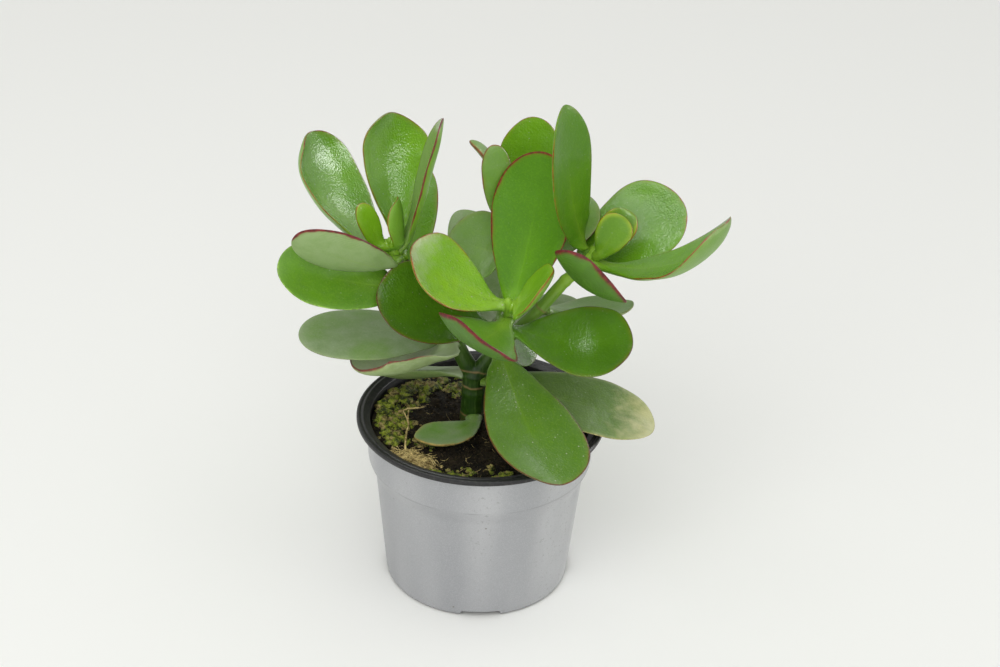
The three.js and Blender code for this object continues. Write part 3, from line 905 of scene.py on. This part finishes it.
def fine_blade(node):
    """The finer blade's rings of points and how far along the leaf each lies, 0 to 1."""
    rings, tip = sorted_rings(node)
    middles = np.vstack([rings.mean(axis=1), tip])
    steps = np.linalg.norm(np.diff(middles, axis=0), axis=1)
    along = np.concatenate([[0], np.cumsum(steps)]) / steps.sum()
    along[-1] = 1
    knots = 1 - np.sqrt(1 - along)       # packs the stations towards the round tip
    back = (middles[1] - middles[0]) / steps[0]
    foot = middles[0] - back * NECK_REACH + (rings[0] - middles[0]) * NECK_SPREAD
    knots = np.concatenate([[-NECK_REACH / steps.sum() / 2], knots, [2 - knots[-2]]])
    tips = np.repeat(tip[None, None], SOLID_SIDES, axis=1)
    past = np.roll(rings[-1], SOLID_SIDES // 2, axis=0)
    values = np.concatenate([foot[None], rings, tips, past[None]])
    places = np.linspace(knots[0], 1, STATIONS + 1)
    rings = curve_through(knots, values, places)
    past = np.roll(rings[-2:-2 - SOFTENING:-1], SOLID_SIDES // 2, axis=1)
    longer = np.concatenate([np.repeat(rings[:1], SOFTENING, axis=0), rings, past])
    weights = np.hanning(2 * SOFTENING + 3)[1:-1]
    for index in range(FIRST_SOFTENED, STATIONS + 1):
        rings[index] = np.tensordot(weights / weights.sum(), longer[index:index + len(weights)], axes=1)
    return rounder(rings, ROUND), 1 - (1 - places) ** 2


def shape_leaf(node, seed, blunt=0.0, sheath=0.25):
    """blunt squares the tip a little, and sheath is how much the foot widens round the stem."""
    rings, along = fine_blade(node)
    angle = 2 * math.pi * np.arange(ROUND) / ROUND
    share, side = np.cos(angle), np.sin(angle)
    quarter = ROUND // 4
    across = rings[:, 0] - rings[:, 2 * quarter]
    half = np.linalg.norm(across, axis=1) / 2
    across = across / np.maximum(2 * half, 1e-6)[:, None]
    up = rings[:, quarter] - rings[:, 3 * quarter]
    up = up / np.maximum(np.linalg.norm(up, axis=1), 1e-6)[:, None]
    blade = np.clip(along / 0.25, 0, 1) * np.clip((1 - along) / 0.02, 0, 1)
    fade = np.clip(along / 0.05, 0, 1) * np.clip((0.75 - along) / 0.5, 0, 1)
    for index, ring in enumerate(rings[:-1]):
        middle = ring.mean(axis=0)
        ring += (ring - middle) * sheath * math.exp(-(along[index] / 0.13) ** 2)
        ring += (ring - middle) * blunt * max(along[index] - 0.7, 0) / 0.3
        groove = GROOVE * fade[index] * np.exp(-(share * half[index]) ** 2)
        for corner in range(ROUND):
            point = ring[corner]
            place = (middle + across[index] * share[corner] * half[index]) / 13 + seed
            swell = BLADE_SWELL * noise.noise(Vector(place)) * blade[index]
            swell += FINE_SWELL * noise.noise(Vector(place * 2.6)) * blade[index] * max(side[corner], 0)
            rim = EDGE_WAVE * noise.noise(Vector((along[index] * 5, share[corner] > 0, seed)))
            point = point + up[index] * (swell - groove[corner] * max(side[corner], 0))
            ring[corner] = point + across[index] * rim * share[corner] * blade[index]
    edge = np.concatenate([rings[:-1, 0], rings[-1:, 0], rings[-2::-1, 2 * quarter]])
    edge = np.concatenate([edge[:-1] + (edge[1:] - edge[:-1]) * part for part in (0, 0.25, 0.5, 0.75)])
    low, high = (np.array(corner) / MM for corner in CAD_BOX)
    points = np.concatenate([rings[:-1].reshape(-1, 3), rings[-1, :1], rings[0].mean(axis=0)[None]])
    reach = points - points[-1]
    room = np.minimum((high - points[-1]) / np.maximum(reach.max(axis=0), 1e-6),
                      (low - points[-1]) / np.minimum(reach.min(axis=0), -1e-6))
    points = points[-1] + reach * np.minimum(room, 1)
    margin = np.array([np.linalg.norm(edge - point, axis=1).min() for point in points])
    faces = []
    for start in range(0, (STATIONS - 1) * ROUND, ROUND):
        for corner in range(ROUND):
            after = (corner + 1) % ROUND
            faces.append((start + corner, start + after, start + ROUND + after, start + ROUND + corner))
    last, tip, foot = (STATIONS - 1) * ROUND, STATIONS * ROUND, STATIONS * ROUND + 1
    for corner in range(ROUND):
        after = (corner + 1) % ROUND
        faces += [(last + corner, last + after, tip), (after, corner, foot)]
    item = mesh_piece("blade_" + node.removeprefix("leaf_"), points, faces)
    mesh = item.data
    write_attribute(mesh, "along", np.concatenate([np.repeat(along[:-1], ROUND), [1, 0]]))
    write_attribute(mesh, "across", np.concatenate([np.tile(share, STATIONS), [0, 0]]))
    write_attribute(mesh, "upper", np.concatenate([np.tile(side, STATIONS), [0, 0]]))
    write_attribute(mesh, "margin", margin)
    face_outwards(mesh)
    return item


def leaf_skin(name, green, shade, under, rough=0.24, gleam=0.42, bloom=0.02, wax=0.0, specks=0.3,
              pebbly=0.12, line=0.3, line_tone=(0.34, 0.05, 0.015), line_share=0.6, line_side=0,
              flush=0.25, flush_tone=(0.34, 0.17, 0.015), base_tone=(0.27, 0.46, 0.03), base=0.5,
              tip=0.0, tip_tone=(0.60, 0.58, 0.27)):
    """Waxy skin. line is the red line's width in mm, and the other plain numbers are amounts."""
    skin = Finish("leaf_" + name, rough, specular_ior_level=gleam, subsurface_weight=0.06,
                  subsurface_radius=(0.0006, 0.0010, 0.0003))
    along, across, upper = skin.read("along"), skin.read("across"), skin.read("upper")
    margin = skin.read("margin")
    clouds = skin.grain(22, detail=2, roughness=0.4)
    patches = skin.grain(5, detail=4, roughness=0.6)
    pebbles = skin.grain(0.85, detail=1)
    pores = skin.grain(0.4, detail=2)
    middle = skin.number("ABSOLUTE", across)

    tone = skin.blend(skin.step(clouds, 0.3, 0.7), shade, green)
    tone = skin.blend(skin.times(skin.step(patches, 0.42, 0.68), 0.45), tone, shade)
    tone = skin.blend(skin.times(skin.step(pebbles, 0.45, 0.75), 0.14), tone, base_tone)
    # Lighter near the foot and along the middle in base_tone: the younger tissue's own colour, and on the
    # old leaves, whose base_tone is pale, a painted sheen.
    young_and_sheen = skin.times(skin.step(middle, 0.55, 0.0), skin.step(along, 0.7, 0.0))
    young_and_sheen = skin.number("ADD", skin.times(young_and_sheen, 0.6), skin.step(along, 0.18, 0.02), clamp=True)
    tone = skin.blend(skin.times(young_and_sheen, base), tone, base_tone)
    chevron = skin.plus(skin.times(along, 10), skin.times(middle, -2.6))
    chevron = skin.plus(chevron, skin.times(patches, 1.2))
    vein = skin.step(skin.number("PINGPONG", chevron, 0.5), 0.10, 0.0)
    vein = skin.number("MAXIMUM", skin.times(vein, 0.5), skin.step(middle, 0.06, 0.0))
    vein = skin.times(vein, skin.step(along, 0.85, 0.2))
    tone = skin.blend(skin.times(vein, 0.22), tone, base_tone)
    dots = skin.number("MAXIMUM", skin.step(skin.cells(1.3), 0.15, 0.05),
                       skin.step(skin.cells(3.1), 0.13, 0.07))
    dots = skin.times(dots, skin.step(patches, 0.42, 0.56))
    tone = skin.blend(skin.times(dots, specks), tone, (0.45, 0.50, 0.32))
    dull = skin.times(skin.step(patches, 0.2, 0.9), bloom)
    dull = skin.plus(dull, skin.times(skin.step(margin, 6, 0), bloom * 0.35))
    dull = skin.plus(dull, skin.times(skin.step(clouds, 0.62, 0.40), wax))
    tone = skin.blend(dull, tone, (0.44, 0.50, 0.36))
    # Paler towards the tip: the dried tan tip of trunk_right, and a painted sheen on front_4_left.
    wear_and_sheen = skin.plus(along, skin.times(patches, 0.35))
    wear_and_sheen = skin.times(skin.step(wear_and_sheen, 0.86, 1.20), tip)
    tone = skin.blend(wear_and_sheen, tone, tip_tone)

    streaks = skin.plus(skin.times(across, 22), skin.times(clouds, 14))
    streak = skin.step(skin.number("PINGPONG", streaks, 0.5), 0.12, 0.42)
    below = skin.blend(skin.times(streak, 0.35), under, [part * 1.35 + 0.02 for part in under])
    below = skin.blend(skin.times(vein, 0.3), below, base_tone)
    below = skin.blend(skin.times(skin.step(patches, 0.4, 0.7), 0.35), below, shade)
    lower = skin.step(upper, 0.10, -0.18)
    tone = skin.blend(lower, tone, below)

    outward = skin.step(along, 0.05, 0.6)
    wander = skin.step(skin.grain(7, detail=2), 0.25, 0.75)
    blush = skin.times(skin.step(margin, 2.6, 0.1), skin.times(outward, wander))
    tone = skin.blend(skin.times(blush, flush), tone, flush_tone)
    width = skin.times(skin.plus(0.4, skin.times(outward, 0.6)),
                       skin.times(skin.plus(0.6, wander), line))
    red = skin.step(margin, skin.times(width, 1.5), skin.times(width, 0.5))
    gaps = skin.step(skin.grain(13, detail=2), 0.66 - 0.45 * line_share, 0.78 - 0.45 * line_share)
    red = skin.times(red, skin.number("SUBTRACT", 1, skin.times(1 - line_share, gaps)))
    red = skin.times(red, skin.step(along, 0.12, 0.36))
    if line_side:
        red = skin.times(red, skin.step(skin.times(across, line_side), -0.4, 0.5))
    faded = skin.blend(skin.step(skin.grain(1.6, detail=3), 0.40, 0.62), line_tone,
                       [part * 0.5 for part in line_tone])
    tone = skin.blend(red, tone, faded)

    rises = skin.times(pebbles, skin.step(upper, -0.1, 0.25))
    skin.emboss(rises, pebbly)
    skin.emboss(pores, 0.025)
    skin.emboss(patches, 0.25)
    skin.emboss(skin.times(vein, -1), 0.05)
    skin.emboss(skin.times(streak, lower), 0.03)
    gloss = skin.plus(rough, skin.times(dull, 0.5))
    gloss = skin.plus(gloss, skin.times(lower, 0.16))
    return skin.done(tone, gloss)


CRIMSON = (0.19, 0.008, 0.012)
LEAF_SKINS = {       # each finish with the leaves that have it and its settings
    "fresh": (("left_4_left", "left_3_back", "back_3_back"), dict(
        green=(0.19, 0.43, 0.012), shade=(0.145, 0.36, 0.010), under=(0.18, 0.36, 0.04), rough=0.22,
        gleam=0.55, specks=0.4, pebbly=0.19)),
    # Painted sheen: this leaf's upper side is a pale grey-green, and its underside has the bright green of
    # an upper side.
    "twisted": (("left_4_right",), dict(
        green=(0.26, 0.40, 0.13), shade=(0.23, 0.36, 0.11), under=(0.20, 0.43, 0.015), line=0.55,
        line_tone=CRIMSON, line_share=0.95)),
    "glossy": (("right_3_back", "right_4_right", "left_2_back"), dict(
        green=(0.145, 0.35, 0.009), shade=(0.110, 0.28, 0.008), under=(0.17, 0.34, 0.04), gleam=0.5,
        line_share=0.4, pebbly=0.16)),
    "upright": (("right_4_left", "back_4_right"), dict(
        green=(0.110, 0.285, 0.006), shade=(0.085, 0.235, 0.006), under=(0.15, 0.30, 0.035), rough=0.30,
        gleam=0.12, pebbly=0.06, line=0.2, line_share=0.2)),
    "bright": (("front_4_right", "left_5_left", "left_5_right"), dict(
        green=(0.24, 0.48, 0.012), shade=(0.19, 0.41, 0.011), under=(0.18, 0.38, 0.03), line=0.32,
        line_tone=(0.36, 0.07, 0.012), line_share=0.8, flush=0.3, flush_tone=(0.45, 0.30, 0.02))),
    # Painted sheen: this leaf is lighter than its like, with whitish bloom, white specks and a pale tip in
    # place of a highlight.
    "painted_sheen": (("front_4_left",), dict(
        green=(0.27, 0.53, 0.014), shade=(0.20, 0.44, 0.011), under=(0.20, 0.40, 0.03), bloom=0.10,
        specks=1, pebbly=0.22, line=0.34, line_tone=(0.42, 0.07, 0.012), line_share=0.9, flush=0.4,
        flush_tone=(0.50, 0.30, 0.02), tip=0.8, tip_tone=(0.50, 0.60, 0.34))),
    "tender": (("right_5_back", "right_5_front"), dict(
        green=(0.15, 0.32, 0.010), shade=(0.11, 0.26, 0.010), under=(0.20, 0.40, 0.03), gleam=0.3,
        line_tone=(0.42, 0.06, 0.012), line_share=0.7, flush=0.9, flush_tone=(0.42, 0.52, 0.03),
        pebbly=0.06)),
    "mid": (("front_3_back",), dict(
        green=(0.094, 0.262, 0.004), shade=(0.078, 0.225, 0.004), under=(0.12, 0.26, 0.03), rough=0.36,
        gleam=0.22, bloom=0.0, specks=0.1, line=0.65, line_tone=(0.25, 0.014, 0.014), line_share=0.9,
        base_tone=(0.21, 0.47, 0.008), base=0.65)),
    "deep": (("front_2_right", "front_1_back"), dict(
        green=(0.100, 0.255, 0.008), shade=(0.070, 0.19, 0.006), under=(0.09, 0.20, 0.02), specks=0.2,
        line=0.22, line_tone=(0.14, 0.05, 0.02), line_share=0.5, base_tone=(0.14, 0.34, 0.012))),
    # Painted rim light: a pale green line and flush round this leaf's margin.
    "pale_edged": (("left_2_front",), dict(
        green=(0.115, 0.285, 0.010), shade=(0.085, 0.225, 0.008), under=(0.16, 0.34, 0.03), rough=0.34,
        gleam=0.30, bloom=0.05, line=0.4, line_tone=(0.30, 0.50, 0.08), line_share=1, flush=0.3,
        pebbly=0.07, flush_tone=(0.24, 0.44, 0.05))),
    "dark": (("front_2_left",), dict(
        green=(0.065, 0.165, 0.006), shade=(0.045, 0.12, 0.005), under=(0.09, 0.20, 0.02), gleam=0.6,
        bloom=0.0, specks=0.2, line=0.4, line_tone=(0.13, 0.035, 0.02), line_share=0.8,
        base_tone=(0.12, 0.28, 0.012), pebbly=0.18)),
    "red_edged": (("front_3_front", "right_3_front"), dict(
        green=(0.14, 0.34, 0.012), shade=(0.10, 0.26, 0.010), under=(0.062, 0.158, 0.010), rough=0.34,
        bloom=0.05, line=1.1, line_tone=CRIMSON, line_share=1, flush=0.4,
        flush_tone=(0.24, 0.09, 0.03))),
    "pale_backed": (("left_3_front",), dict(
        green=(0.12, 0.30, 0.012), shade=(0.17, 0.30, 0.06), under=(0.26, 0.375, 0.145), rough=0.38,
        bloom=0.08, line=0.9, line_tone=CRIMSON, line_share=1, line_side=-1, flush=0.3,
        flush_tone=(0.24, 0.10, 0.03))),
    "slender": (("back_3_front", "back_4_left"), dict(
        green=(0.15, 0.34, 0.02), shade=(0.17, 0.32, 0.06), under=(0.30, 0.45, 0.17), rough=0.34,
        bloom=0.06, line=0.45, line_tone=(0.32, 0.02, 0.03), line_share=0.7, flush=0.3)),
    "broad": (("front_1_front",), dict(
        green=(0.105, 0.245, 0.010), shade=(0.085, 0.205, 0.010), under=(0.12, 0.24, 0.04), rough=0.36,
        gleam=0.26, bloom=0.05, specks=0.8, line=0.5, line_tone=(0.17, 0.020, 0.016), line_share=0.8,
        base=0.2, pebbly=0.10)),
    # The pale base_tone of these old leaves lightens them near the stem as a painted sheen.
    "old": (("left_1_back", "trunk_left", "back_1_left", "back_1_right"), dict(
        green=(0.160, 0.300, 0.040), shade=(0.125, 0.240, 0.035), under=(0.22, 0.31, 0.10), rough=0.42,
        bloom=0.30, wax=0.22, line=0.15, line_tone=(0.26, 0.30, 0.14), line_share=0.4, flush=0.2,
        pebbly=0.09, base_tone=(0.40, 0.47, 0.27), flush_tone=(0.30, 0.38, 0.14))),
    # Painted sheen: this rolled leaf's upper side is near white, pale enough to outweigh the shade of the
    # leaf above it.
    "rolled": (("left_1_front",), dict(
        green=(0.62, 0.72, 0.44), shade=(0.54, 0.64, 0.36), under=(0.28, 0.38, 0.15), rough=0.38,
        bloom=0.30, wax=0.2, line=0.7, line_tone=(0.22, 0.012, 0.02), line_share=0.9, flush=0.2,
        base=0.3)),
    "dull": (("back_2_left", "back_2_right", "right_1_right"), dict(
        green=(0.165, 0.350, 0.026), shade=(0.130, 0.28, 0.024), under=(0.19, 0.30, 0.07), rough=0.38,
        bloom=0.11, wax=0.04, line=0.2, line_tone=(0.15, 0.06, 0.022), line_share=0.4, flush=0.2,
        base=0.3)),
    "tan_tipped": (("trunk_right",), dict(
        green=(0.115, 0.225, 0.022), shade=(0.095, 0.185, 0.022), under=(0.14, 0.22, 0.06), rough=0.38,
        bloom=0.05, line_tone=(0.50, 0.44, 0.18), line_share=0.8, flush=0.5,
        flush_tone=(0.50, 0.52, 0.24), base=0.2, tip=0.9, pebbly=0.08)),
    "low": (("trunk_low",), dict(
        green=(0.13, 0.30, 0.018), shade=(0.15, 0.27, 0.06), under=(0.17, 0.26, 0.08), rough=0.34,
        bloom=0.30, wax=0.2, line=0.35, line_tone=(0.52, 0.36, 0.10), line_share=0.9, flush=0.5,
        flush_tone=(0.45, 0.38, 0.12), base=0.2)),
}

LEAF_FORMS = {       # blunt and sheath, for a leaf with a blunter tip and for the young ones
    "left_3_back": (0.22, 0.25), "left_5_left": (0, 0.9), "left_5_right": (0, 0.9),
    "front_4_right": (0, 0.5), "right_5_front": (0, 0.6), "right_5_back": (0, 0.6),
}

for finish_name, (leaves, settings) in LEAF_SKINS.items():
    finish = leaf_skin(finish_name, **settings)
    for leaf in leaves:
        seed = len(leaf) * 3.7 + ord(leaf[-1]) + 5 * ord(leaf[-3]) % 31      # from the leaf's name
        blade = shape_leaf("leaf_" + leaf, seed, *LEAF_FORMS.get(leaf, ()))
        blade.data.materials.append(finish)
        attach(blade, "root")
        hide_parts("leaf_" + leaf)
